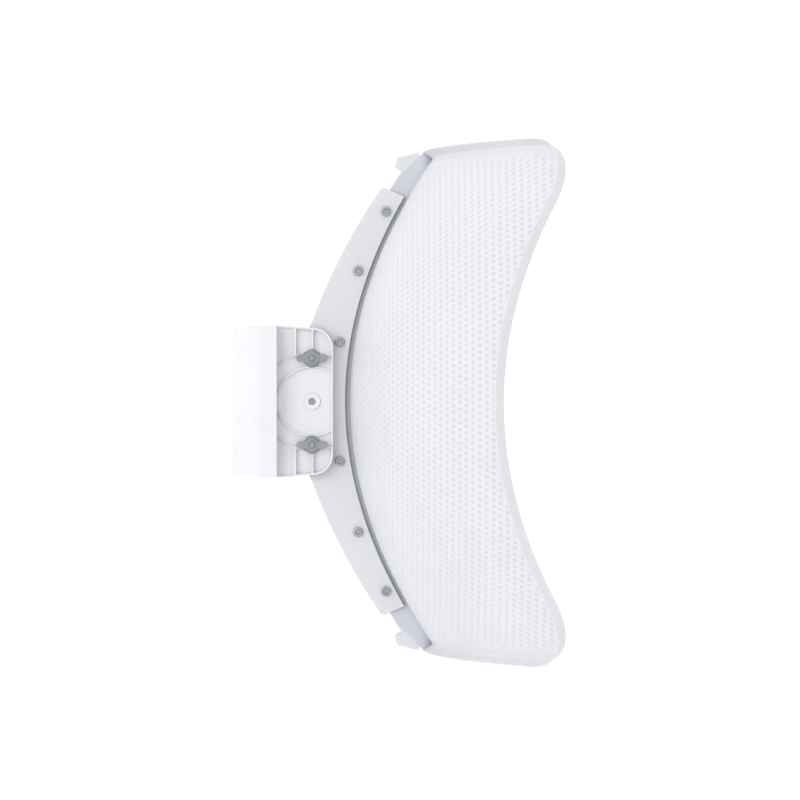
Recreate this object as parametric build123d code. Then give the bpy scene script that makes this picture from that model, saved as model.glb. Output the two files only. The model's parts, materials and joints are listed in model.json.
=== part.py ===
from build123d import *
import math
import os

# Outdoor point-to-point radio on a pole: a wide parabolic mirror in two wings, a steel spine,
# a tilting pole bracket behind it, and a radio feed on its axis.
# Frame: origin on the pole's axis at the bracket's mid-height, +X along the beam, +Z up.
# The object is the same on both sides of the XZ plane, apart from its bolts. "Right" is -Y.
# Lengths are in millimetres, angles in degrees.

# Tilt joint
pivot_x = 73.2              # in front of the pole's axis
pivot_radius = 3.0
slot_circle = 35.7          # the tilt bolts' distance from the pivot
bolt_radius = 3.0
tilt_limit = 16.0
ear_radius = 42.5
running_gap = 0.06          # on radius, at the pivot and in the nuts

# Mirror
vertex_x = pivot_x + 31.9   # the mirror's lowest point
focal_length = 146.5
half_width = 266.6          # to the fold of the rim
half_height = 200.9
corner_radius = 48.0
sheet = 1.2                 # thickness of the wings, measured along X
lip_depth = 10.5            # the rim's lip, which stands square to the sheet behind it
mirror_reach = 350.0        # radius of the working paraboloid, past every corner

# Spine: from the middle out, channel web, wing flange, side plate
web_in = 10.5
flange_in = 12.5
plate_in = 14.0
plate_out = 16.5
flange_depth = 20.2
plate_gap = 5.2             # side plate's front edge behind the mirror
spine_screw_spots = [(28.9, 156.9), (5.8, 107.8), (-9.1, 49.2)]   # from the vertex; mirrored in Z

# Pole bracket
pole_radius = 24.15
bracket_back = pivot_x - 65.6
bracket_step = pivot_x - 28.7       # where the cradle meets the flat cheeks
bracket_front = pivot_x + 17.4
cradle_widest_x = pivot_x - 38.4
cradle_half_width = 39.0
cradle_wall = 3.4
lip_half_width = 28.0
bracket_half_height = 62.4
cheek_half_height = 60.6
cheek_corner = 16.6
cheek_out = 27.0
cheek_in = 20.2
pad_in = 16.8
pad_radius = 41.0
nut_seat = 1.4                      # depth of the spot faces under the tilt nuts
fork_back = pivot_x - 45.4
strap_height = 15.0
strap_z = 38.0

# Feed
hub_radius = 29.0
hub_back = vertex_x + 1.9
hub_front = hub_back + 3.0
base_thickness = 4.0
shell_back = hub_front + base_thickness
shell_front = vertex_x + 96.0
nose_front = vertex_x + 121.0
base_radius = 22.0
tip_radius = 18.0
wall = 2.0
sleeve_half_height = 20.5
latch_x = vertex_x + 33.0       # the latch's pivot
latch_z = 26.2
board_low = 2.5
board_thickness = 1.6
port_low = -27.0
port_back = vertex_x + 11.0
port_front = vertex_x + 37.0
port_half_width = 11.5
jack_back = vertex_x + 18.0


def mirror_x(r, depth=0.0):
    """X of the mirror at distance r from the beam's axis, or of a surface that far behind it."""
    return vertex_x + r * r / (4 * focal_length) - depth


def side_slab(sketch, inner, outer):
    """A sketch drawn in XZ, as a slab on the right side from |Y| = inner to outer."""
    return extrude(Plane.XZ.offset(inner) * sketch, amount=outer - inner)


def across(sketch, half):
    """A sketch drawn in XZ, as a slab centred on the XZ plane."""
    return extrude(Plane.XZ.offset(-half) * sketch, amount=2 * half)


def box(x0, x1, y0, y1, z0, z1):
    middle = ((x0 + x1) / 2, (y0 + y1) / 2, (z0 + z1) / 2)
    return Pos(*middle) * Box(x1 - x0, y1 - y0, z1 - z0)


def rod_y(x, z, radius, y0, y1):
    return Pos(x, (y0 + y1) / 2, z) * Rot(90, 0, 0) * Cylinder(radius, abs(y1 - y0))


def rod_x(y, z, radius, x0, x1):
    return Pos((x0 + x1) / 2, y, z) * Rot(0, 90, 0) * Cylinder(radius, abs(x1 - x0))


def rod_z(x, y, radius, z0, z1):
    return Pos(x, y, (z0 + z1) / 2) * Cylinder(radius, abs(z1 - z0))


def both_sides(solid):
    return [solid, mirror(solid, about=Plane.XZ)]


def spine_spots():
    """The six screw places on one side of the spine, as (x, z)."""
    return [(vertex_x + x, side * z) for x, z in spine_screw_spots for side in (1, -1)]


# ---------------------------------------------------------------- mirror

def dish_slab(front, back):
    """The paraboloid slab between two depths behind the mirror's surface."""
    def curve(depth):
        start = (vertex_x - depth, 0)
        knee = (vertex_x - depth, mirror_reach / 2)
        return Bezier(start, knee, (mirror_x(mirror_reach, depth), mirror_reach))

    near, far = curve(front), curve(back)
    profile = make_face(near + far + Line(near @ 0, far @ 0) + Line(near @ 1, far @ 1))
    return revolve(Plane.XZ * profile, Axis.X)


def dish_outline():
    """The outline of both wings together, drawn in YZ."""
    return RectangleRounded(2 * half_width, 2 * half_height, corner_radius)


def dish_prism(sketch):
    return extrude(Plane.YZ.offset(vertex_x - 60) * sketch, amount=300)


def rim_section(y, z, out_y, out_z):
    """The lip's cross-section at a point of the rim, with the rim's outward direction there."""
    back = Vector(-1, y / (2 * focal_length), z / (2 * focal_length)).normalized()
    climb = (y * out_y + z * out_z) / (2 * focal_length)
    outward = Vector(climb, out_y, out_z).normalized()
    root = Vector(mirror_x(math.hypot(y, z)), y, z) + back * (sheet / 2)
    tip = root + back * (lip_depth - sheet / 2)
    corners = [root, tip, tip - outward * sheet, root - outward * sheet]
    return Face(Wire.make_polygon(corners, close=True))


def rim_lip():
    """The right wing's lip: along the top, round the corner and down the side, then mirrored."""
    y_corner = half_width - corner_radius
    z_corner = half_height - corner_radius
    spans = 6
    top, corner, side = [], [], []
    for i in range(spans + 1):
        share = i / spans
        y = flange_in + (y_corner - flange_in) * share
        top.append(rim_section(-y, half_height, 0, 1))
        angle = math.radians(90 * (1 - share))
        out_y, out_z = math.cos(angle), math.sin(angle)
        y = y_corner + corner_radius * out_y
        z = z_corner + corner_radius * out_z
        corner.append(rim_section(-y, z, -out_y, out_z))
        side.append(rim_section(-half_width, z_corner * (1 - share), -1, 0))
    upper = loft(top) + loft(corner) + loft(side)
    return upper + mirror(upper, about=Plane.XY)


def flange_zone():
    """Where the inner flange lies in XZ: its ends narrow behind a notch."""
    rim_x = mirror_x(half_height)
    upper = Polyline(
        (vertex_x - 60, 0),
        (vertex_x - 60, 189.8),
        (vertex_x + 45.5, 189.8),
        (vertex_x + 58.5, 205.0),
        (vertex_x + 62.0, 205.0),
        (rim_x, half_height - 0.5),
        (rim_x + 60, half_height - 0.5),
        (rim_x + 60, 0),
    )
    half = make_face(upper + Line(upper @ 1, upper @ 0))
    return half + mirror(half, about=Plane.XZ)


def wing(sheet_slab, flange_slab):
    """The right wing: mirror sheet, lip on three sides and inner flange."""
    side = dish_prism(Pos(-half_width / 2 - flange_in / 2, 0) * Rectangle(half_width - flange_in, 600))
    flange = flange_slab & side_slab(flange_zone(), flange_in, plate_in)
    body = (sheet_slab & dish_prism(dish_outline()) & side) + rim_lip() + flange
    for x, z in spine_spots():
        body -= rod_y(x, z, 2.2, -plate_in - 1, -flange_in + 1)
    return body


def end_tab():
    """The channel's rounded tab behind its upper end, in XZ."""
    tab = make_face(
        Polyline(
            (vertex_x + 36.2, 194.6),
            (vertex_x + 38.4, 201.6),
            (vertex_x + 55.5, 205.8),
            (vertex_x + 61.0, 195.0),
            (vertex_x + 47.0, 188.0),
            close=True,
        )
    )
    return fillet(tab.vertices().sort_by(Axis.X)[:2], 2.8)


def spine_channel(flange_slab):
    """The middle strip of the mirror with its two webs, open behind, and a tab pair at each end."""
    height = half_height - 3
    body = flange_slab & box(0, 400, -flange_in, flange_in, -height, height)
    body -= dish_slab(sheet, flange_depth + 2) & box(0, 400, -web_in, web_in, -300, 300)
    tabs = across(end_tab(), flange_in) - across(end_tab(), web_in)
    tabs &= dish_slab(sheet, 60)
    body += tabs
    body += mirror(tabs, about=Plane.XY)
    slot = sleeve_half_height + 0.4
    body -= box(vertex_x - 40, vertex_x + 10, -web_in + 0.1, web_in - 0.1, -slot, slot)
    for x, z in spine_spots():
        body -= rod_y(x, z, 2.05, -20, 20)
    for y, z in hub_screw_spots():
        body -= rod_x(y, z, 1.7, vertex_x - 5, vertex_x + 5)
    return body


def side_plate():
    """The right side plate: it covers the flanges and ends in the ear that tilts in the bracket."""
    front_corner = (vertex_x + 44.7, 168.9)
    back_corner = (vertex_x + 26.0, 177.3)
    reach = 3 * (front_corner[0] - back_corner[0])
    drop = 3 * (front_corner[1] - back_corner[1])
    past = (front_corner[0] + reach, front_corner[1] + drop)
    waist = (pivot_x - 0.2, 66.1)
    shoulder = (pivot_x - 15.4, 34.0)
    upper = Polyline((past[0], 0), past, back_corner)
    upper += ThreePointArc(back_corner, (vertex_x - 5.7, 125.1), waist)
    upper += Line(waist, shoulder)
    lower = mirror(upper, about=Plane.XZ)
    tail = Line(shoulder, (shoulder[0], -shoulder[1]))
    plate = make_face(upper + tail + lower)
    plate += Pos(pivot_x, 0) * Circle(ear_radius)
    plate -= Pos(pivot_x, 0) * Circle(pivot_radius + running_gap)
    swing = tilt_limit + 0.6
    for middle in (90, 270):
        arc = CenterArc((pivot_x, 0), slot_circle, middle - swing, 2 * swing)
        plate -= SlotArc(arc, 2 * bolt_radius + 0.5)
    for x, z in spine_spots():
        plate -= Pos(x, z) * Circle(2.2)
    body = side_slab(plate, plate_in, plate_out) & dish_slab(plate_gap, 300)
    ends = body.edges().filter_by(Axis.Y).sort_by(Axis.Z)
    return fillet(ends[:2] + ends[-2:], 4)


def spine_screw(x, z):
    """M4 pan head screw on the right side, with a driver recess."""
    head = rod_y(x, z, 4.2, -plate_out - 2.8, -plate_out)
    head = fillet(head.edges().group_by(Axis.Y)[0], 1.4)
    shank = rod_y(x, z, 2.0, -plate_out, -5.5)
    recess = rod_y(x, z, 2.1, -plate_out - 3, -plate_out - 1.2)
    return head + shank - recess


def spine_nut(x, z):
    """M4 hexagon nut inside the channel's web."""
    hexagon = Pos(x, z) * RegularPolygon(3.5, 6, major_radius=False)
    return side_slab(hexagon - Pos(x, z) * Circle(2.0), web_in - 3.2, web_in)


# ---------------------------------------------------------------- pole bracket

def cradle_plan():
    """The bracket's outer plan, drawn in XY: round-sided cradle, then the two straight cheeks."""
    back_edge = (bracket_back, lip_half_width)
    widest = (cradle_widest_x, cradle_half_width)
    depth = cradle_widest_x - bracket_back
    drop = cradle_half_width - lip_half_width
    radius = (depth**2 + drop**2) / (2 * drop)
    half = math.degrees(math.asin(depth / radius)) / 2
    middle = (
        cradle_widest_x - radius * math.sin(math.radians(half)),
        cradle_half_width - radius * (1 - math.cos(math.radians(half))),
    )
    outline = ThreePointArc(back_edge, middle, widest)
    outline += Polyline(
        widest,
        (bracket_step, cradle_half_width),
        (bracket_step, cheek_out),
        (bracket_front, cheek_out),
        (bracket_front, 0),
        (bracket_back, 0),
        back_edge,
    )
    half_plan = make_face(outline)
    plan = half_plan + mirror(half_plan, about=Plane.XZ)
    back_corners = plan.vertices().filter_by(lambda v: abs(v.X - bracket_back) < 0.1 and abs(v.Y) > 1)
    return fillet(back_corners, 4.0)


def bracket_side():
    """The bracket's side outline in XZ: slightly crowned ends and round front corners."""
    corner_x = bracket_front - cheek_corner
    crown = (cradle_widest_x, bracket_half_height)
    start = (bracket_back, bracket_half_height - 1.9)
    corner = (corner_x, cheek_half_height)
    corner_end = (bracket_front, cheek_half_height - cheek_corner)
    bend = cheek_corner * (1 - math.sqrt(0.5))
    upper = ThreePointArc(start, crown, corner)
    upper += ThreePointArc(corner, (bracket_front - bend, cheek_half_height - bend), corner_end)
    lower = mirror(upper, about=Plane.XZ)
    sides = Line(start, (start[0], -start[1])) + Line(corner_end, (corner_end[0], -corner_end[1]))
    outline = make_face(upper + lower + sides)
    back_corners = outline.vertices().filter_by(lambda v: abs(v.X - bracket_back) < 0.1)
    return fillet(back_corners, 3.0)


def cheek_reliefs():
    """Recesses in a cheek's outer face as (sketch in XZ, depth): ribs and rings stay proud."""
    rim = 1.7
    rib_x = pivot_x + 0.3
    ridge_x = pivot_x - 14.2
    zone = offset(bracket_side(), -rim)
    zone &= Pos((bracket_step + bracket_front) / 2, 0) * Rectangle(bracket_front - bracket_step, 200)
    hub = Pos(pivot_x, 0)
    outside = zone - hub * Circle(slot_circle + 5.4)
    front = Pos(ridge_x + 1.2 + 50, 0) * Rectangle(100, 200)
    back = Pos(ridge_x - 1.2 - 50, 0) * Rectangle(100, 200)
    rib = Pos(rib_x, 0) * Rectangle(1.7, 200)
    band = zone & hub * (Circle(slot_circle + 3.9) - Circle(slot_circle - 6.3))
    disc = (zone & hub * Circle(slot_circle - 7.9)) - hub * Circle(6.8)
    return [
        ((outside & front) - rib, 4.0),
        (outside & back, 1.4),
        (band, 1.4),
        (disc, 2.2),
        (hub * Circle(6.8), 0.8),
        (Pos(pivot_x, slot_circle) * Circle(7.7), nut_seat),
        (Pos(pivot_x, -slot_circle) * Circle(7.7), nut_seat),
    ]


def index_dots():
    """Two small round sinks beside each tilt nut, in XZ."""
    spots = [(bracket_front - 1.9, 36.2), (bracket_front - 2.7, 29.9)]
    return [Pos(x, side * z) * Circle(1.1) for x, z in spots for side in (1, -1)]


def pole_bracket():
    """One moulding: pole cradle behind, two cheeks in front that hold the spine's ears."""
    body = extrude(Plane.XY.offset(-80) * cradle_plan(), amount=160)
    body &= across(bracket_side(), 60)
    body -= rod_z(0, 0, pole_radius, -80, 80)
    body -= box(fork_back, 200, -cheek_in, cheek_in, -80, 80)
    pad = side_slab(Pos(pivot_x, 0) * Circle(pad_radius), pad_in, cheek_in + 0.5)
    pad &= box(fork_back - 1, bracket_front, -40, 0, -80, 80)
    for piece in both_sides(pad):
        body += piece
    # the strap's way through the cradle, above and below
    half = strap_height / 2
    for z in (strap_z, -strap_z):
        for y in (-13.5, 13.5):
            body -= box(bracket_back - 5, fork_back + 1, y - 3, y + 3, z - half, z + half)
    # the cradle's hollow sides, open towards the mirror
    hollow_out = cradle_half_width - cradle_wall
    core = box(
        pivot_x - 57.4, bracket_step + 1, -hollow_out, -cheek_out,
        -bracket_half_height + 5, bracket_half_height - 5,
    )
    front_part = box(cradle_widest_x, bracket_step + 1, -hollow_out, -cheek_out, -80, 80)
    core &= extrude(Plane.XY.offset(-80) * offset(cradle_plan(), -cradle_wall), amount=160) + front_part
    for piece in both_sides(core):
        body -= piece
    cuts = []
    for sketch, depth in cheek_reliefs():
        cuts.append(side_slab(sketch, cheek_out - depth, cheek_out + 2))
    for dot in index_dots():
        cuts.append(side_slab(dot, cheek_out - 0.8, cheek_out + 2))
    for cut in cuts:
        for piece in both_sides(cut):
            body -= piece
    body -= rod_y(pivot_x, 0, pivot_radius, -60, 60)
    for z in (slot_circle, -slot_circle):
        body -= rod_y(pivot_x, z, bolt_radius + 0.2, -60, 40)
        body -= box(pivot_x - 3.2, pivot_x + 3.2, pad_in, 40, z - 3.2, z + 3.2)
    return body


def seat_y():
    """|Y| of the ring face that the tilt nuts press on."""
    return cheek_out - nut_seat


def tilt_bolt(z):
    """M6 coach bolt across both cheeks and both ears: round head and square neck on the left."""
    head = Pos(pivot_x, seat_y(), z) * Rot(-90, 0, 0) * Cylinder(
        7.0, 3.2, align=(Align.CENTER, Align.CENTER, Align.MIN)
    )
    head = fillet(head.edges().group_by(Axis.Y)[-1], 2.4)
    neck = box(pivot_x - 3, pivot_x + 3, seat_y() - 5, seat_y(), z - 3, z + 3)
    shank = rod_y(pivot_x, z, bolt_radius, -seat_y() - 8.5, seat_y() - 5)
    return chamfer((head + neck + shank).edges().group_by(Axis.Y)[0], 0.6)


def tilt_washer(z):
    ring = Pos(pivot_x, z) * (Circle(7.2) - Circle(bolt_radius + 0.2))
    return side_slab(ring, seat_y(), seat_y() + 1.2)


def wing_nut(z):
    """M6 wing nut: flanged barrel with two rounded ears."""
    base = seat_y() + 1.2
    barrel = side_slab(Pos(pivot_x, z) * Circle(6.4), base, base + 2.0)
    barrel += side_slab(Pos(pivot_x, z) * Circle(5.2), base + 2.0, base + 6.2)
    ears = side_slab(Pos(pivot_x, z) * SlotOverall(25.6, 6.4), base + 1.2, base + 5.0)
    nut = barrel + ears
    nut -= rod_y(pivot_x, z, bolt_radius + running_gap, -base - 20, -base + 5)
    return nut


def pivot_pin():
    """Plain steel pin through the cheeks and ears, a little below the boss faces."""
    return rod_y(pivot_x, 0, pivot_radius, -cheek_out + 2.2, cheek_out - 2.2)


# ---------------------------------------------------------------- feed

def hub_screw_spots():
    return [(0, 25.4), (-7.0, -24.6), (7.0, -24.6)]


def feed_hub():
    """Collar in front of the mirror, with the sleeve behind it that takes the feed's spigot."""
    collar = rod_x(0, 0, hub_radius, hub_back, hub_front)
    collar = fillet(collar.edges().group_by(Axis.X)[-1], 1.0)
    arch = box(hub_front - 1, vertex_x + 14.5, -7.5, 7.5, 26.0, 33.5)
    arch -= box(hub_front, vertex_x + 12.6, -6.0, 6.0, 20, 31.5)
    arch -= box(vertex_x + 12, vertex_x + 15, -6.0, 6.0, 20, 30.0)
    arch -= rod_x(0, 0, hub_radius - 2.8, hub_front, vertex_x + 20)
    sleeve = box(vertex_x - 26, hub_back, -10.2, 10.2, -sleeve_half_height, sleeve_half_height)
    inside = sleeve_half_height - 3.7
    body = collar + arch + sleeve
    body -= box(vertex_x - 24, hub_front + 1, -8.2, 8.2, -inside, inside)
    for y, z in hub_screw_spots():
        body -= rod_x(y, z, 1.7, hub_back - 1, hub_front + 1)
    return body


def hub_screw(y, z):
    """M3 button head screw through the collar and the channel's strip."""
    head = rod_x(y, z, 2.8, hub_front, hub_front + 1.7)
    head = fillet(head.edges().group_by(Axis.X)[-1], 1.0)
    return head + rod_x(y, z, 1.5, vertex_x - 4.4, hub_front)


def hub_nut(y, z):
    hexagon = Pos(y, z) * (RegularPolygon(2.75, 6, major_radius=False) - Circle(1.5))
    return extrude(Plane.YZ.offset(vertex_x - 2.8) * hexagon, amount=2.4)


def feed_base():
    """Disc behind the radio shells, with the spigot that plugs into the hub."""
    disc = rod_x(0, 0, base_radius, hub_front, shell_back)
    high = sleeve_half_height - 4.0
    spigot = box(vertex_x - 22, hub_front, -7.9, 7.9, -high, high)
    spigot -= box(vertex_x - 23, hub_front - 3, -5.9, 5.9, -high + wall, high - wall)
    return disc + spigot


def cone_radius(x):
    """Outer radius of the feed's shells at x."""
    share = (x - shell_back) / (shell_front - shell_back)
    return base_radius + (tip_radius - base_radius) * share


def feed_cone(inset):
    """The feed's tapering body, or the same inset for its hollow."""
    ends = [(shell_back, base_radius - inset), (shell_front, tip_radius - inset)]
    profile = make_face(Polyline((ends[0][0], 0), ends[0], ends[1], (ends[1][0], 0), close=True))
    return revolve(Plane.XZ * profile, Axis.X)


def shell_halves():
    """Upper and lower radio shell. The lower one carries the cable port's frame."""
    shell = feed_cone(0) - feed_cone(wall)
    upper = shell & box(0, 400, -60, 60, 0, 60)
    lower = shell & box(0, 400, -60, 60, -60, 0)
    frame = box(port_back, port_front, -port_half_width, port_half_width, port_low, -5)
    frame -= feed_cone(wall)
    lower += frame
    inner = port_half_width - 1.8
    inside = box(port_back + 1.8, port_front - 1.8, -inner, inner, -40, 0)
    lower -= inside
    lower -= rod_x(0, port_low, 3.6, port_back - 1, port_back + 2)
    # guide tube for the reset pin, on the port frame's back wall
    guide = box(port_back + 1.6, jack_back - 0.4, -3.4, 3.4, -22.5, -8.5)
    lower += guide - rod_z(reset_x(), 0, 1.3 + running_gap, -30, 0)
    lower -= box(vertex_x + 46, vertex_x + 62, -1.6, 1.6, -30, -10)
    # latch bearing blocks on the upper shell
    for y in (-7.4, 7.4):
        block = box(latch_x - 3, latch_x + 3, y - 1.2, y + 1.2, 15, latch_z + 2) - feed_cone(wall)
        upper += block
    upper -= rod_y(latch_x, latch_z, 1.1, -20, 20)
    return upper, lower


def feed_nose():
    """Radome cap over the feed's antenna."""
    x0, x1 = shell_front, nose_front
    outer = make_face(
        Polyline((x0, 0), (x0, 20.5), (x1 - 9, 20.5))
        + RadiusArc((x1 - 9, 20.5), (x1, 11.5), 9)
        + Polyline((x1, 11.5), (x1, 0), (x0, 0))
    )
    inner = make_face(
        Polyline((x0 - 1, 0), (x0 - 1, 18.6), (x1 - 9, 18.6))
        + RadiusArc((x1 - 9, 18.6), (x1 - 1.9, 11.5), 7.1)
        + Polyline((x1 - 1.9, 11.5), (x1 - 1.9, 0), (x0 - 1, 0))
    )
    return revolve(Plane.XZ * outer, Axis.X) - revolve(Plane.XZ * inner, Axis.X)


def nose_ring():
    """Rubber ring between the shells and the nose."""
    return rod_x(0, 0, tip_radius - 0.1, shell_front, shell_front + 2) - rod_x(
        0, 0, tip_radius - 2.4, shell_front - 1, shell_front + 3
    )


def sub_reflector():
    """Dished metal plate in the tip, which turns the wave back to the mirror."""
    x = nose_front - 5.0
    plate = rod_x(0, 0, 16.0, x, x + 1.2)
    return plate + rod_x(0, 0, 3.0, x - 4.0, x)


def antenna_board():
    """Upright board with the feed's dipoles, in the nose."""
    board = box(vertex_x + 82, vertex_x + 111, -0.8, 0.8, -11.5, 11.5)
    board -= box(vertex_x + 80, vertex_x + 88, -0.9, 0.9, board_low - 0.2, 6.0)
    return board


def radio_board():
    """Main board, level, along the feed."""
    board = box(shell_back + 1, vertex_x + 87, -13.5, 13.5, board_low, board_low + board_thickness)
    return board


def rf_shield():
    """Pressed cover over the radio parts, open towards the board."""
    low = board_low + board_thickness
    cover = box(vertex_x + 38, vertex_x + 76, -10.5, 10.5, low, low + 5)
    return cover - box(vertex_x + 38.6, vertex_x + 75.4, -9.9, 9.9, low - 1, low + 4.4)


def ethernet_jack():
    """Eight-way socket under the board, open downward, with its latch step."""
    body = box(jack_back, jack_back + 15.8, -6.8, 6.8, board_low - 20.5, board_low)
    socket = box(jack_back + 2.0, jack_back + 13.8, -5.4, 2.6, board_low - 21, board_low - 6)
    step = box(jack_back + 4.6, jack_back + 11.2, 2.5, 5.2, board_low - 21, board_low - 8)
    return body - socket - step


def jack_contacts():
    """Eight gold spring contacts inside the socket."""
    pitch = 1.02
    first = jack_back + 7.9 - 3.5 * pitch
    return [
        box(first + i * pitch - 0.2, first + i * pitch + 0.2, -5.3, -4.5, board_low - 17, board_low - 6.2)
        for i in range(8)
    ]


def reset_x():
    return jack_back - 2.8


def reset_button():
    """Small push pin beside the socket, under the board."""
    return rod_z(reset_x(), 0, 1.3, board_low - 19.0, board_low - 4.0)


def reset_switch():
    """Tactile switch on the board that the reset pin presses."""
    x = reset_x()
    return box(x - 2.4, x + 2.4, -3, 3, board_low - 2.8, board_low)


def light_guide():
    """Clear bar that brings the signal lights to the feed's underside."""
    low = -cone_radius(vertex_x + 62) - 0.5
    return box(vertex_x + 46.2, vertex_x + 61.8, -1.4, 1.4, low, low + 4.5)


def port_door():
    """Hinged cover under the cable port."""
    top = port_low - 0.3
    door = box(port_back, port_front, -port_half_width, port_half_width, top - 2.0, top)
    door = fillet(door.edges().filter_by(Axis.Z).group_by(Axis.X)[0], 2.5)
    door += box(port_front, port_front + 2.2, -7.5, 7.5, top - 2.0, top)
    door += rod_y(port_front + 2.2, top - 1.0, 2.0, -7.5, 7.5)
    door -= rod_y(port_front + 2.2, top - 1.0, 1.0 + running_gap, -20, 20)
    return door


def door_axis():
    return port_front + 2.2, port_low - 1.3


def door_ears():
    """The two hinge ears on the port's frame, part of the lower shell."""
    x, z = door_axis()
    ears = []
    for y in (-9.6, 9.6):
        ear = rod_y(x, z, 2.0, y - 1.8, y + 1.8) + box(port_front, x, y - 1.8, y + 1.8, z, port_low + 4)
        ears.append(ear - rod_y(x, z, 1.0, -20, 20))
    return ears


def door_pin():
    x, z = door_axis()
    return rod_y(x, z, 1.0, -11.4, 11.4)


def port_gasket():
    """Soft frame inside the port, just above the door."""
    z0, z1 = port_low, port_low + 1.5
    edge = 1.9
    half = port_half_width
    outer = box(port_back + edge, port_front - edge, -half + edge, half - edge, z0, z1)
    hole = box(port_back + 3.4, port_front - 3.4, -half + 3.4, half - 3.4, z0 - 1, z1 + 1)
    return outer - hole - box(port_back, port_back + 5, -4, 4, z0 - 1, z1 + 1)


def cable_grommet():
    """Rubber half ring where the cable leaves the port towards the mirror."""
    ring = rod_x(0, port_low, 3.5, port_back - 1.0, port_back + 2.6)
    ring -= rod_x(0, port_low, 2.5, port_back - 2, port_back + 4)
    return ring & box(port_back - 2, port_back + 4, -5, 5, port_low, port_low + 5)


def release_latch():
    """Lever on top of the feed: pressed down, its barb clears the hub's arch."""
    lever = box(vertex_x + 9.0, vertex_x + 36.0, -5.0, 5.0, 25.0, 27.4)
    lever = fillet(lever.edges().filter_by(Axis.Z).group_by(Axis.X)[-1], 3.0)
    lever += box(vertex_x + 9.0, vertex_x + 12.2, -5.0, 5.0, 27.4, 31.0)
    lever += box(vertex_x + 16.5, vertex_x + 25.0, -5.0, 5.0, 27.4, 28.6)
    lever -= rod_y(latch_x, latch_z, 1.0 + running_gap, -20, 20)
    return lever


def latch_pin():
    return rod_y(latch_x, latch_z, 1.0, -8.5, 8.5)


def latch_spring():
    """Bow of spring strip between the lever and the upper shell."""
    x0, x1 = vertex_x + 18, vertex_x + 28
    low = cone_radius(x0) + 0.15
    strip = ThreePointArc((x0, low), ((x0 + x1) / 2, 24.7), (x1, low))
    back = ThreePointArc((x1, low - 0.01), ((x0 + x1) / 2, 24.3), (x0, low - 0.01))
    profile = make_face(strip + Line(strip @ 1, back @ 0) + back + Line(back @ 1, strip @ 0))
    return across(profile, 2.0)


def make_nodes():
    """Every node by name: one solid, or a list of separate like solids."""
    sheet_slab = dish_slab(0, sheet)
    flange_slab = dish_slab(0, flange_depth)
    right_wing = wing(sheet_slab, flange_slab)
    right_plate = side_plate()
    screws = [spine_screw(x, z) for x, z in spine_spots()]
    nuts = [spine_nut(x, z) for x, z in spine_spots()]
    upper_shell, lower_shell = shell_halves()
    for ear in door_ears():
        lower_shell += ear
    return {
        "right_wing": right_wing,
        "left_wing": mirror(right_wing, about=Plane.XZ),
        "spine_channel": spine_channel(flange_slab),
        "right_side_plate": right_plate,
        "left_side_plate": mirror(right_plate, about=Plane.XZ),
        "right_spine_screws": screws,
        "left_spine_screws": [mirror(s, about=Plane.XZ) for s in screws],
        "right_spine_nuts": nuts,
        "left_spine_nuts": [mirror(n, about=Plane.XZ) for n in nuts],
        "pole_bracket": pole_bracket(),
        "pivot_pin": pivot_pin(),
        "tilt_bolts": [tilt_bolt(z) for z in (slot_circle, -slot_circle)],
        "tilt_washers": [tilt_washer(z) for z in (slot_circle, -slot_circle)],
        "upper_tilt_nut": wing_nut(slot_circle),
        "lower_tilt_nut": wing_nut(-slot_circle),
        "feed_hub": feed_hub(),
        "hub_screws": [hub_screw(y, z) for y, z in hub_screw_spots()],
        "hub_nuts": [hub_nut(y, z) for y, z in hub_screw_spots()],
        "feed_base": feed_base(),
        "feed_shell_upper": upper_shell,
        "feed_shell_lower": lower_shell,
        "feed_nose": feed_nose(),
        "nose_ring": nose_ring(),
        "sub_reflector": sub_reflector(),
        "antenna_board": antenna_board(),
        "radio_board": radio_board(),
        "rf_shield": rf_shield(),
        "ethernet_jack": ethernet_jack(),
        "jack_contacts": jack_contacts(),
        "reset_switch": reset_switch(),
        "reset_button": reset_button(),
        "light_guide": light_guide(),
        "port_door": port_door(),
        "door_pin": door_pin(),
        "port_gasket": port_gasket(),
        "cable_grommet": cable_grommet(),
        "release_latch": release_latch(),
        "latch_pin": latch_pin(),
        "latch_spring": latch_spring(),
    }


os.makedirs("parts", exist_ok=True)
for name, shape in make_nodes().items():
    solids = shape if isinstance(shape, list) else [shape]
    export_step(Compound(children=[s.solid() for s in solids]), f"parts/{name}.step")
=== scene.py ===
import json
import math

import bpy
import bmesh
import numpy as np
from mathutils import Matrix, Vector
from mathutils.geometry import delaunay_2d_cdt


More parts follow.
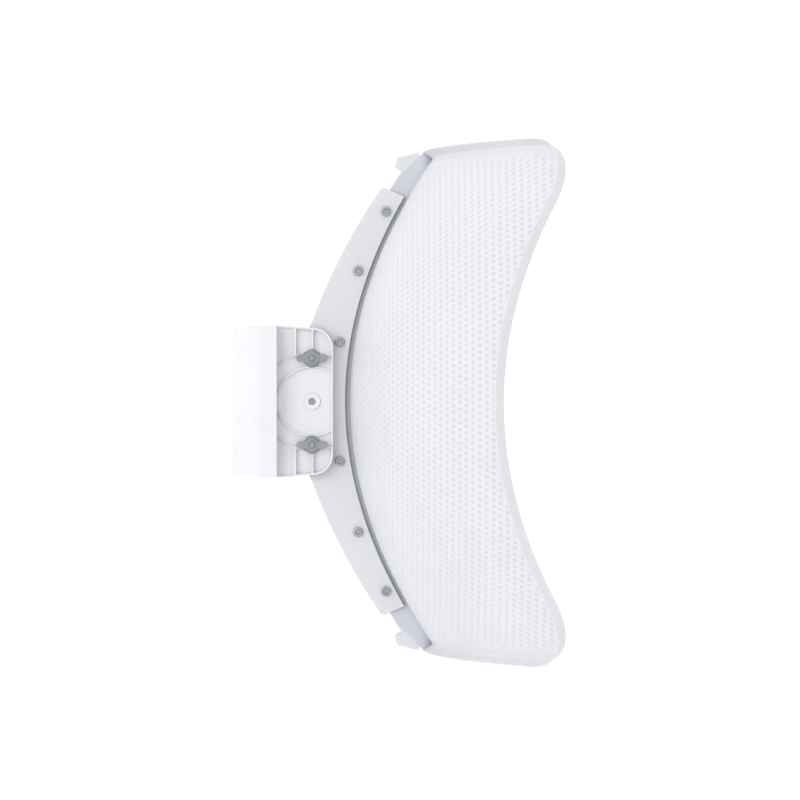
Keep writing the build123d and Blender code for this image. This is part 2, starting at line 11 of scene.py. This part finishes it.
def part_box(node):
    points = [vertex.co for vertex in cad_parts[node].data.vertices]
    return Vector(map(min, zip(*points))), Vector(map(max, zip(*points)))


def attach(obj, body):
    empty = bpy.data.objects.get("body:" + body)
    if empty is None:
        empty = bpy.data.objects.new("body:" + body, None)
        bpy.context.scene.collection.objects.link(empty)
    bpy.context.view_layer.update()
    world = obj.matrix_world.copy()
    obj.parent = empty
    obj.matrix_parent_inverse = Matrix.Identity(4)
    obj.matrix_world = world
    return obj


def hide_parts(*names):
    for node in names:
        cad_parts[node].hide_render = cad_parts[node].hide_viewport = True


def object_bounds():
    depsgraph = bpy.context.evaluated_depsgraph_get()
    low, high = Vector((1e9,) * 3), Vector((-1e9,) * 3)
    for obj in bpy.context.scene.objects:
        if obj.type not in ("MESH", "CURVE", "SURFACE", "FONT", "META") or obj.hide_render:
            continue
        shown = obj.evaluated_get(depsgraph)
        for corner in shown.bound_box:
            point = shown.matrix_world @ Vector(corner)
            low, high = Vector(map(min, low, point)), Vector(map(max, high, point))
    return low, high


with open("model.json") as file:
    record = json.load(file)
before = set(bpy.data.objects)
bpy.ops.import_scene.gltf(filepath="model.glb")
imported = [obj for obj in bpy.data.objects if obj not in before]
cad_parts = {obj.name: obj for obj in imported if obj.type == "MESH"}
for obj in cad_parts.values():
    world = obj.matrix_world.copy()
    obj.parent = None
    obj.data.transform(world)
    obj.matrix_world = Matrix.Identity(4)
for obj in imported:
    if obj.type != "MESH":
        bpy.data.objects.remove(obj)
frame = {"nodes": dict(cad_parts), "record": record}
cad_box = [list(corner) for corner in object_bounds()]

# ------------------------------------------------------------------ sizes, in metres
MM = 0.001
_, wing_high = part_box("right_wing")
channel_low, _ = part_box("spine_channel")

focal_length = 146.5 * MM
web_in = 10.5 * MM
flange_depth = 20.2 * MM
vertex_x = channel_low.x + flange_depth - web_in**2 / (4 * focal_length)
root_y = -wing_high.y
fold_half_width = 266.6 * MM        # to the fold of the rim, before its lip flares out
fold_half_height = 200.9 * MM
outer_corner = 48.0 * MM
sheet = 1.2 * MM
lip_depth = 10.5 * MM
lip_edge = 0.3 * MM                 # broken corners of the lip's free edge
fold = 2.2 * MM                     # outer radius of the rim's fold
notch_z = 189.8 * MM                # the root flange narrows beyond this height
tip_z = 205.0 * MM
notch_depth = 17.0 * MM
tip_depth = 11.0 * MM

# how finely the wing's outline is drawn
end_steps = 44
side_steps = 66
root_steps = 80
corner_steps = 20
fold_steps = 6
join_distance = 1e-7                # points of the flat plan nearer than this become one
sharp_angle = math.radians(38)      # edges that turn more than this aren't shaded soft

# dimples: blind recesses in both faces of the sheet, on rings about the beam's axis
ring_pitch = 8.1 * MM
dimple_pitch = 5.25 * MM
dimple_length = 4.6 * MM
dimple_width = 3.1 * MM
dimple_sides = 8
floor_share = 0.84                  # of the dimple's outline, at its floor
recess = 0.45 * MM
front_recess = 0.35 * MM
side_margin = 7.0 * MM
end_margin = 9.5 * MM
root_margin = 8.0 * MM
hub_clear = 38.0 * MM
border_insets = (5.5, 9.0, 12.5, 16.0, 19.5)    # rows of extra points on the plain border, in mm
border_gap = 3.4 * MM

# the wings' material slots after their own paint: painted shade on the root flange, and on the
# dimples' floors
flange_shade_slot, floor_shade_slot = 1, 2


# ------------------------------------------------------------------ wings

def mirror_x(y, z):
    """X of the mirror's front surface."""
    return vertex_x + (y * y + z * z) / (4 * focal_length)


def arc_length(r):
    """Length along the mirror's curve from its vertex out to radius r."""
    a = r / (2 * focal_length)
    return focal_length * (a * math.sqrt(1 + a * a) + math.asinh(a))


def radius_at(length):
    """The radius whose arc length this is, by halving."""
    low, high = 0.0, 400 * MM       # further out than any corner of the mirror
    halvings = 40
    for _ in range(halvings):
        middle = (low + high) / 2
        if arc_length(middle) < length:
            low = middle
        else:
            high = middle
    return low


def corner_at(radius, turn):
    """A point and its outward direction on the wing's upper outer corner, drawn in the plan."""
    out_y, out_z = math.cos(turn), math.sin(turn)
    centre_y, centre_z = fold_half_width - outer_corner, fold_half_height - outer_corner
    return (centre_y + radius * out_y, centre_z + radius * out_z), (out_y, out_z)


def wing_outline(inset):
    """The wing's plan outline, counterclockwise from its lower root: points and outward directions.

    The root side comes last, and its points are marked.
    """
    low, high = root_y + inset, fold_half_height - inset
    flat_y = fold_half_width - outer_corner
    flat_z = fold_half_height - outer_corner
    points = []
    for i in range(end_steps):
        points.append(((low + (flat_y - low) * i / end_steps, -high), (0.0, -1.0), False))
    for i in range(corner_steps + 1):
        turn = math.radians(90 * (1 - i / corner_steps))
        (y, z), (out_y, out_z) = corner_at(outer_corner - inset, turn)
        points.append(((y, -z), (out_y, -out_z), False))
    for i in range(1, side_steps):
        z = -flat_z + 2 * flat_z * i / side_steps
        points.append(((fold_half_width - inset, z), (1.0, 0.0), False))
    for i in range(corner_steps + 1):
        place, out = corner_at(outer_corner - inset, math.radians(90 * i / corner_steps))
        points.append((place, out, False))
    for i in range(1, end_steps + 1):
        points.append(((flat_y + (low - flat_y) * i / end_steps, high), (0.0, 1.0), False))
    for i in range(1, root_steps):
        points.append(((low, high - 2 * high * i / root_steps), (-1.0, 0.0), True))
    return points


def square_to_sheet(y, z):
    """The direction straight back from the sheet at a place in the plan."""
    return Vector((-1, y / (2 * focal_length), z / (2 * focal_length))).normalized()


def along_sheet(y, z, out):
    """The direction in the sheet's own surface that the plan's outward direction points."""
    climb = (y * out[0] + z * out[1]) / (2 * focal_length)
    return Vector((climb, out[0], out[1])).normalized()


def fold_profile(depth):
    """The rim's cross-section from the front sheet to the back sheet, as (inset, depth)."""
    turns = [math.radians(90 * i / fold_steps) for i in range(1, fold_steps + 1)]
    outer = [(fold - fold * math.sin(a), fold - fold * math.cos(a)) for a in turns]
    inside = fold - sheet
    inner = [(fold - inside * math.sin(a), fold - inside * math.cos(a)) for a in reversed(turns)]
    end = [
        (0, depth - lip_edge), (lip_edge, depth),
        (sheet - lip_edge, depth), (sheet, depth - lip_edge),
    ]
    return outer + end + inner


def in_field(y, z):
    """Whether a dimple may stand at this place on the wing."""
    if y < root_y + root_margin or math.hypot(y, z) < hub_clear:
        return False
    wide, high = fold_half_width - side_margin, fold_half_height - end_margin
    if y > wide or abs(z) > high:
        return False
    corner = outer_corner - end_margin
    dy, dz = y - wide + corner, abs(z) - high + corner
    return dy < 0 or dz < 0 or math.hypot(dy, dz) < corner


def dimple_field():
    """Each dimple as (y, z, angle about the beam's axis), on staggered rings."""
    dimples = []
    reach = math.hypot(fold_half_width, fold_half_height)
    ring = 0
    while True:
        r = radius_at(hub_clear + ring * ring_pitch)
        if r > reach:
            return dimples
        step = dimple_pitch / r
        count = int(math.pi / 2 / step)
        for k in range(-count, count + 1):
            angle = (k + 0.5 * (ring % 2)) * step
            y, z = r * math.cos(angle), r * math.sin(angle)
            if in_field(y, z):
                dimples.append((y, z, angle))
        ring += 1


def dimple_ring(y, z, angle):
    """The dimple's outline on the mirror's plan, foreshortened by the slope there."""
    slope = math.hypot(y, z) / (2 * focal_length)
    long = dimple_length / 2 / math.sqrt(1 + slope * slope)
    short = dimple_width / 2
    points = []
    for i in range(dimple_sides):
        a = 2 * math.pi * (i + 0.5) / dimple_sides
        u, v = long * math.cos(a), short * math.sin(a)
        points.append((y + u * math.cos(angle) - v * math.sin(angle),
                       z + u * math.sin(angle) + v * math.cos(angle)))
    return points


def border_points(dimples):
    """Extra points on the plain border, so that the sheet stays curved there."""
    places = np.array([d[:2] for d in dimples])
    extra = []
    for inset in border_insets:
        for (y, z), _, _ in wing_outline(inset * MM)[::2]:
            if np.hypot(places[:, 0] - y, places[:, 1] - z).min() > border_gap:
                extra.append((y, z))
    return extra


def wing_plan():
    """The wing's sheet, triangulated flat: points, triangles, dimple loops and boundary loop."""
    dimples = dimple_field()
    points, faces = [], []
    for dimple in dimples:
        faces.append(list(range(len(points), len(points) + dimple_sides)))
        points += dimple_ring(*dimple)
    outline = [place for place, _, _ in wing_outline(fold)]
    boundary = list(range(len(points), len(points) + len(outline)))
    points += outline
    points += border_points(dimples)
    edges = list(zip(boundary, boundary[1:] + boundary[:1]))
    flat = [Vector(p) for p in points]
    inside_only = 1
    places, _, triangles, sources, _, inside = delaunay_2d_cdt(
        flat, edges, faces, inside_only, join_distance
    )
    new = {}
    for i, olds in enumerate(sources):
        for old in olds:
            new[old] = i
    kept = [t for t, owners in zip(triangles, inside) if not owners]
    loops = [[new[i] for i in face] for face in faces]
    return [tuple(p) for p in places], kept, loops, [new[i] for i in boundary]


def rim_vertex(place, out, inset, depth):
    """A point of the rim's cross-section, in the wing's own plan axes."""
    y, z = place
    base = Vector((mirror_x(y, z), y, z))
    return base - along_sheet(y, z, out) * inset + square_to_sheet(y, z) * depth


def build_wing(plan, side, name):
    """One wing as a closed, dimpled sheet. side is -1 for the right wing and 1 for the left.

    The second material slot is the root flange and its fold, the third the dimples' floors; both
    carry darker paint as painted shade.
    """
    places, triangles, loops, boundary = plan
    count = len(places)
    verts = [Vector((mirror_x(y, z), y, z)) for y, z in places]
    verts += [v - Vector((sheet, 0, 0)) for v in verts]
    faces = [tuple(t) for t in triangles]
    faces += [tuple(i + count for i in reversed(t)) for t in triangles]
    floor_shade_faces = []
    for loop in loops:
        first = len(faces)
        press_dimple(verts, faces, loop, count)
        floor_shade_faces += [*range(first, first + dimple_sides), len(faces) - 1]
    plain = len(faces)
    rows = [boundary]
    outline = wing_outline(0)
    at_root = [root for _, _, root in outline]
    for (inset, depth), (_, root_depth) in zip(fold_profile(lip_depth), fold_profile(flange_depth)):
        row = []
        for place, out, root in outline:
            row.append(len(verts))
            if root:
                y, z = place
                verts.append(Vector((mirror_x(y, z) - flange_back(z, root_depth), y + inset, z)))
            else:
                verts.append(rim_vertex(place, out, inset, depth))
        rows.append(row)
    rows.append([i + count for i in boundary])
    on_flange = []
    for row, following in zip(rows, rows[1:]):
        for i in range(len(row)):
            j = (i + 1) % len(row)
            faces.append((row[i], row[j], following[j], following[i]))
            on_flange.append(at_root[i] or at_root[j])
    mesh = bpy.data.meshes.new(name)
    mesh.from_pydata([(v.x, side * v.y, v.z) for v in verts], [], faces)
    # the root flange and its fold get the slot of painted shade
    for i, is_flange in enumerate(on_flange):
        mesh.polygons[plain + i].material_index = flange_shade_slot if is_flange else 0
    # the dimples' floors get the slot of painted shade
    for i in floor_shade_faces:
        mesh.polygons[i].material_index = floor_shade_slot
    return mesh


def press_dimple(verts, faces, loop, count):
    """A flat-bottomed recess in the back of the sheet, with a shallow hollow in front of it."""
    front = [verts[i] for i in loop]
    middle = sum(front, Vector()) / len(front)
    back_way = square_to_sheet(middle.y, middle.z)
    top = len(verts)
    verts.append(middle + back_way * front_recess)
    floor = len(verts)
    for corner in loop:
        place = verts[corner + count]
        centre = middle + place - verts[corner]
        verts.append(centre + (place - centre) * floor_share - back_way * recess)
    sides = list(zip(loop, loop[1:] + loop[:1]))
    for a, b in sides:
        faces.append((a, b, top))
    for k, (a, b) in enumerate(sides):
        following = (k + 1) % len(loop)
        faces.append((a + count, b + count, floor + following, floor + k))
    faces.append(tuple(range(floor, floor + len(loop))))


def flange_back(z, depth):
    """The root flange's depth at z: it narrows behind a notch near each end."""
    if depth <= fold or abs(z) <= notch_z:
        return depth
    share = min(1.0, (abs(z) - notch_z) / (tip_z - notch_z))
    return min(depth, notch_depth + (tip_depth - notch_depth) * share)


def close_mesh(mesh):
    """Faces outward, with soft shading except over sharp edges."""
    bm = bmesh.new()
    bm.from_mesh(mesh)
    bmesh.ops.recalc_face_normals(bm, faces=bm.faces)
    for face in bm.faces:
        face.smooth = True
    bm.to_mesh(mesh)
    bm.free()
    mesh.set_sharp_from_angle(angle=sharp_angle)
    mesh.update()


def add_piece(mesh, name, body, slot, material, *replaced):
    """Links a piece that rides on a body and stands in for the named CAD nodes."""
    piece = bpy.data.objects.new(name, mesh)
    bpy.context.scene.collection.objects.link(piece)
    mesh.materials.append(material)
    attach(piece, body)
    if replaced:
        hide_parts(*replaced)
    return piece


# ------------------------------------------------------------------ materials

class Look:
    """Builds one procedural material around a Principled shader."""

    common = (0.3, 0.7)             # most of a noise's values lie between these

    def __init__(self, name, colour, roughness, metallic=0.0):
        self.material = bpy.data.materials.new(name)
        self.material.use_nodes = True
        self.tree = self.material.node_tree
        self.shader = self.tree.nodes["Principled BSDF"]
        self.colour = colour
        self.shader.inputs["Metallic"].default_value = metallic
        self.shader.inputs["Roughness"].default_value = roughness
        coordinates = self.tree.nodes.new("ShaderNodeTexCoord")
        self.place = coordinates.outputs["Object"]
        self.bump_height = None

    def node(self, kind, **settings):
        """Adds a shader node."""
        made = self.tree.nodes.new(kind)
        for key, value in settings.items():
            setattr(made, key, value)
        return made

    def link(self, source, target):
        self.tree.links.new(source, target)

    def noise(self, scale, detail=4.0, roughness=0.55, stretch=None):
        """Noise over the piece's own axes, stretched by three factors if they are given."""
        made = self.node("ShaderNodeTexNoise")
        made.inputs["Scale"].default_value = scale
        made.inputs["Detail"].default_value = detail
        made.inputs["Roughness"].default_value = roughness
        source = self.place
        if stretch:
            mapping = self.node("ShaderNodeMapping")
            mapping.inputs["Scale"].default_value = stretch
            self.link(self.place, mapping.inputs["Vector"])
            source = mapping.outputs["Vector"]
        self.link(source, made.inputs["Vector"])
        return made.outputs["Fac"]

    def remap(self, value, low, high, to_low, to_high):
        """Turns the range low to high into the range to_low to to_high."""
        made = self.node("ShaderNodeMapRange")
        ends = (("From Min", low), ("From Max", high), ("To Min", to_low), ("To Max", to_high))
        for key, number in ends:
            made.inputs[key].default_value = number
        self.link(value, made.inputs["Value"])
        return made.outputs["Result"]

    def mix(self, share, first, second):
        """A colour mix. Each colour is a socket or three numbers."""
        made = self.node("ShaderNodeMix", data_type="RGBA")
        if isinstance(share, float):
            made.inputs["Factor"].default_value = share
        else:
            self.link(share, made.inputs["Factor"])
        first_colour, second_colour, colour_out = 6, 7, 2
        for key, colour in ((first_colour, first), (second_colour, second)):
            if isinstance(colour, (tuple, list)):
                made.inputs[key].default_value = (*colour, 1)
            else:
                self.link(colour, made.inputs[key])
        return made.outputs[colour_out]

    def vary(self, scale, amount):
        """Slow lighter and darker patches over the base colour."""
        share = self.remap(self.noise(scale, 3.0), *self.common, 0.0, 1.0)
        dark = [c * (1 - amount) for c in self.colour]
        light = [min(1.0, c * (1 + amount * 0.6)) for c in self.colour]
        return self.mix(share, dark, light)

    def edges(self, colour, wear_and_shade_colour, radius, strength, low=0.42, high=0.62):
        """Mixes a colour in along the piece's edges, broken up by noise between low and high: chipped
        wear on the coats and plated metal, a painted dark reflection on the screws.
        """
        bevel = self.node("ShaderNodeBevel", samples=4)
        bevel.inputs["Radius"].default_value = radius
        geometry = self.node("ShaderNodeNewGeometry")
        dot = self.node("ShaderNodeVectorMath", operation="DOT_PRODUCT")
        self.link(bevel.outputs["Normal"], dot.inputs[0])
        self.link(geometry.outputs["Normal"], dot.inputs[1])
        flat, turned = 0.97, 0.80   # how nearly the rounded surface faces the way the real one does
        edge = self.remap(dot.outputs["Value"], flat, turned, 0.0, 1.0)
        patch = self.remap(self.noise(260.0, 5.0), low, high, 0.0, strength)
        both = self.node("ShaderNodeMath", operation="MULTIPLY", use_clamp=True)
        self.link(edge, both.inputs[0])
        self.link(patch, both.inputs[1])
        return self.mix(both.outputs[0], colour, wear_and_shade_colour)

    def painted_shade(self, colour, shade_colour, distance, strength, starts=0.75):
        """Paints shade into inner corners: the colour darkens where ambient occlusion is stronger."""
        hidden = self.node("ShaderNodeAmbientOcclusion", samples=4)
        hidden.inputs["Distance"].default_value = distance
        full = 0.2
        share = self.remap(hidden.outputs["AO"], starts, full, 0.0, strength)
        return self.mix(share, colour, shade_colour)

    def rough(self, low, high, scale):
        """Patches of rougher and smoother finish."""
        patches = self.remap(self.noise(scale, 4.0), *self.common, low, high)
        self.link(patches, self.shader.inputs["Roughness"])

    def bump(self, height, strength, distance, round_edges=0.0):
        """Fine relief, over edges rounded by that radius if one is given."""
        made = self.node("ShaderNodeBump")
        made.inputs["Strength"].default_value = strength
        made.inputs["Distance"].default_value = distance
        self.link(height, made.inputs["Height"])
        if round_edges:
            bevel = self.node("ShaderNodeBevel", samples=4)
            bevel.inputs["Radius"].default_value = round_edges
            self.link(bevel.outputs["Normal"], made.inputs["Normal"])
        self.link(made.outputs["Normal"], self.shader.inputs["Normal"])

    def paint_with(self, colour):
        """Sets the base colour and hands the finished material back."""
        self.link(colour, self.shader.inputs["Base Color"])
        return self.material


def powder_coat(name, colour, low, high):
    """Satin powder coat on metal: fine orange peel, faint mottle, chipped edges."""
    look = Look(name, colour, 0.45)
    look.shader.inputs["Coat Weight"].default_value = 0.06
    look.shader.inputs["Coat Roughness"].default_value = 0.3
    look.rough(low, high, 90.0)
    look.bump(look.noise(1500.0, 3.0), 0.10, 0.0004)
    base = look.vary(14.0, 0.018)
    return look.paint_with(look.edges(base, (0.55, 0.56, 0.58), 0.0006, 0.22))


def coat_in_painted_shade(name, colour, gap_shade):
    """The same coat darkened as painted shade where two flanges lie close together, with painted
    shadow darker still down in the gap.
    """
    look = Look(name, colour, 0.45)
    look.rough(0.40, 0.52, 90.0)
    look.bump(look.noise(1500.0, 3.0), 0.10, 0.0004)
    return look.paint_with(look.painted_shade(look.vary(14.0, 0.018), gap_shade, 0.012, 1.0, 0.62))


def moulded(name, colour, low, high, grain=0.12):
    """Moulded plastic with a spark-eroded grain, softened edges and painted shade in its recesses."""
    look = Look(name, colour, 0.4)
    look.shader.inputs["Subsurface Weight"].default_value = 0.04
    look.shader.inputs["Subsurface Radius"].default_value = (0.002, 0.002, 0.002)
    look.rough(low, high, 120.0)
    look.bump(look.noise(2600.0, 2.0), grain, 0.0002, 0.0005)
    base = look.vary(22.0, 0.015)
    # painted shade: darker in recesses and inner corners, by ambient occlusion
    base = look.painted_shade(base, [c * 0.72 for c in colour], 0.004, 0.35)
    return look.paint_with(base)


def plated(name, colour, low, high):
    """Zinc plate or stainless steel: faint directional scratches, dull patches, bright edges."""
    look = Look(name, colour, 0.35, 1.0)
    look.rough(low, high, 400.0)
    look.bump(look.noise(900.0, 4.0, 0.6, (1, 8, 1)), 0.12, 0.0002, 0.0002)
    base = look.vary(180.0, 0.12)
    return look.paint_with(look.edges(base, [min(1, c * 1.35) for c in colour], 0.0003, 0.7))


def screw_steel_painted_rim(name, colour, rim):
    """Dulled stainless steel with a painted dark reflection on its rounded shoulders."""
    look = Look(name, colour, 0.4, 0.85)
    look.rough(0.34, 0.50, 400.0)
    look.bump(look.noise(900.0, 4.0, 0.6, (1, 8, 1)), 0.12, 0.0002, 0.0004)
    # painted reflection: the dark ring on the heads' shoulders
    return look.paint_with(look.edges(look.vary(180.0, 0.12), rim, 0.0011, 1.0, 0.10, 0.35))


def rubber(name):
    """Black silicone rubber: matt, finely pitted."""
    look = Look(name, (0.03, 0.03, 0.033), 0.75)
    look.rough(0.65, 0.85, 300.0)
    look.bump(look.noise(1800.0, 4.0), 0.25, 0.0003, 0.0003)
    return look.paint_with(look.vary(90.0, 0.25))


def circuit(name):
    """Green solder resist with copper runs showing under it."""
    look = Look(name, (0.02, 0.13, 0.06), 0.35)
    look.shader.inputs["Coat Weight"].default_value = 0.4
    look.rough(0.25, 0.4, 500.0)
    bricks = look.node("ShaderNodeTexBrick")
    runs = {"Scale": 160.0, "Mortar Size": 0.03, "Brick Width": 0.9, "Row Height": 0.3}
    for key, number in runs.items():
        bricks.inputs[key].default_value = number
    bricks.inputs["Color1"].default_value = (0.02, 0.13, 0.06, 1)
    bricks.inputs["Color2"].default_value = (0.025, 0.16, 0.07, 1)
    bricks.inputs["Mortar"].default_value = (0.07, 0.26, 0.10, 1)
    look.link(look.place, bricks.inputs["Vector"])
    look.bump(bricks.outputs["Fac"], 0.15, 0.00005)
    return look.paint_with(look.mix(0.25, bricks.outputs["Color"], look.vary(60.0, 0.2)))


def clear_plastic(name):
    """Clear moulded plastic with a faint ripple."""
    look = Look(name, (0.9, 0.94, 0.97), 0.12)
    look.shader.inputs["Transmission Weight"].default_value = 0.7
    look.shader.inputs["IOR"].default_value = 1.49
    look.rough(0.08, 0.2, 400.0)
    look.bump(look.noise(1200.0, 2.0), 0.08, 0.0002)
    return look.paint_with(look.vary(120.0, 0.05))


looks = {
    "mirror_paint": powder_coat("mirror_paint_look", (0.715, 0.723, 0.755), 0.42, 0.55),
    "spine_paint": powder_coat("spine_paint_look", (0.69, 0.698, 0.73), 0.40, 0.52),
    "bracket_plastic": moulded("bracket_plastic_look", (0.782, 0.788, 0.808), 0.38, 0.50),
    "feed_plastic": moulded("feed_plastic_look", (0.70, 0.705, 0.725), 0.35, 0.48),
    "radome_plastic": moulded("radome_plastic_look", (0.64, 0.65, 0.67), 0.35, 0.45),
    "zinc_steel": plated("zinc_steel_look", (0.33, 0.34, 0.37), 0.32, 0.52),
    # the screws' dark shoulders are a painted reflection
    "stainless": screw_steel_painted_rim("stainless_painted_rim_look", (0.44, 0.45, 0.475), (0.07, 0.073, 0.085)),
    "rubber_seal": rubber("rubber_seal_look"),
    "circuit_board": circuit("circuit_board_look"),
    "shield_metal": plated("shield_metal_look", (0.60, 0.61, 0.62), 0.25, 0.45),
    "jack_metal": plated("jack_metal_look", (0.55, 0.56, 0.57), 0.22, 0.40),
    "contact_gold": plated("contact_gold_look", (0.80, 0.58, 0.22), 0.18, 0.30),
    "switch_plastic": moulded("switch_plastic_look", (0.03, 0.03, 0.034), 0.35, 0.5),
    "clear_guide": clear_plastic("clear_guide_look"),
}

# the root flange: a darker copy of the mirror paint as painted shade, with painted shadow deep in the
# gap
flange_shade_look = coat_in_painted_shade("flange_shade_look", (0.585, 0.60, 0.645), (0.20, 0.21, 0.25))
# the dimples' floors: a darker copy of the mirror paint, as painted shade
dimple_shade_look = powder_coat("dimple_shade_look", (0.64, 0.65, 0.69), 0.42, 0.55)

slot_of = {s["node"]: s["material_slot"] for s in frame["record"]["subparts"]}
for name, node in frame["nodes"].items():
    if not node.material_slots:
        node.data.materials.append(looks[slot_of[name]])
    for holder in node.material_slots:
        holder.material = looks[slot_of[name]]

# ------------------------------------------------------------------ pieces

plan = wing_plan()
for side, name in ((-1, "right_wing"), (1, "left_wing")):
    mesh = build_wing(plan, side, name + "_dimpled")
    close_mesh(mesh)
    wing = add_piece(mesh, name + "_dimpled", "dish", "mirror_paint", looks["mirror_paint"], name)
    wing.data.materials.append(flange_shade_look)
    wing.data.materials.append(dimple_shade_look)

# ------------------------------------------------------------------ stage, light and camera

def pale(name, colour):
    """The matt floor, lifted a little by its own light so that it stays near white."""
    look = Look(name, colour, 0.9)
    look.shader.inputs["Specular IOR Level"].default_value = 0.0
    look.shader.inputs["Emission Color"].default_value = (1.0, 1.0, 1.0, 1)
    look.shader.inputs["Emission Strength"].default_value = 0.05
    return look.paint_with(look.vary(3.0, 0.01))


def floor_sheet():
    """A wide pale floor under the object, which turns up into a backdrop far behind."""
    below, reach, back, sweep, steps = 0.25, 30.0, 14.0, 4.0, 12
    level = cad_box[0][2] - below
    mesh = bpy.data.meshes.new("floor")
    rows = [(-reach, 0.0), (back, 0.0)]
    for i in range(1, steps + 1):
        a = math.radians(90 * i / steps)
        rows.append((back + sweep * math.sin(a), sweep - sweep * math.cos(a)))
    rows.append((back + sweep, reach))
    verts = [(x, y, level + z) for y, z in rows for x in (-reach, reach)]
    faces = [(2 * i, 2 * i + 1, 2 * i + 3, 2 * i + 2) for i in range(len(rows) - 1)]
    mesh.from_pydata(verts, [], faces)
    piece = bpy.data.objects.new("floor", mesh)
    bpy.context.scene.collection.objects.link(piece)
    mesh.materials.append(pale("floor_look", (0.93, 0.93, 0.935)))


def soft_sun(name, strength, spread, toward):
    """A wide sun that shines in a direction; spread is its angle in degrees."""
    lamp = bpy.data.lights.new(name, "SUN")
    lamp.energy = strength
    lamp.angle = math.radians(spread)
    holder = bpy.data.objects.new(name, lamp)
    holder.rotation_euler = Vector(toward).to_track_quat("-Z", "Y").to_euler()
    bpy.context.scene.collection.objects.link(holder)


def studio():
    """An even white surround with one soft key light from behind the object's right side."""
    world = bpy.data.worlds.new("studio")
    world.use_nodes = True
    background = world.node_tree.nodes["Background"]
    background.inputs["Color"].default_value = (1.0, 1.0, 1.0, 1)
    background.inputs["Strength"].default_value = 1.0
    bpy.context.scene.world = world
    soft_sun("key", 0.76, 40.0, (0.58, 0.79, -0.20))
    bpy.context.scene.view_settings.view_transform = "Standard"
    bpy.context.scene.view_settings.look = "None"


def camera():
    """Square to the object's right side, a little above its middle, far off with a long lens."""
    distance = 3.53
    frame_width = 664.0 * MM
    aim = Vector((vertex_x + 40.6 * MM, 0, 1.1 * MM))
    rise = math.radians(0.25)
    lens = bpy.data.cameras.new("camera")
    lens.sensor_width = 36.0
    lens.lens = lens.sensor_width * distance / frame_width
    lens.clip_end = 200.0
    holder = bpy.data.objects.new("camera", lens)
    holder.location = aim + Vector((0, -distance * math.cos(rise), distance * math.sin(rise)))
    holder.rotation_euler = (aim - holder.location).to_track_quat("-Z", "Y").to_euler()
    bpy.context.scene.collection.objects.link(holder)
    bpy.context.scene.camera = holder


floor_sheet()
studio()
camera()
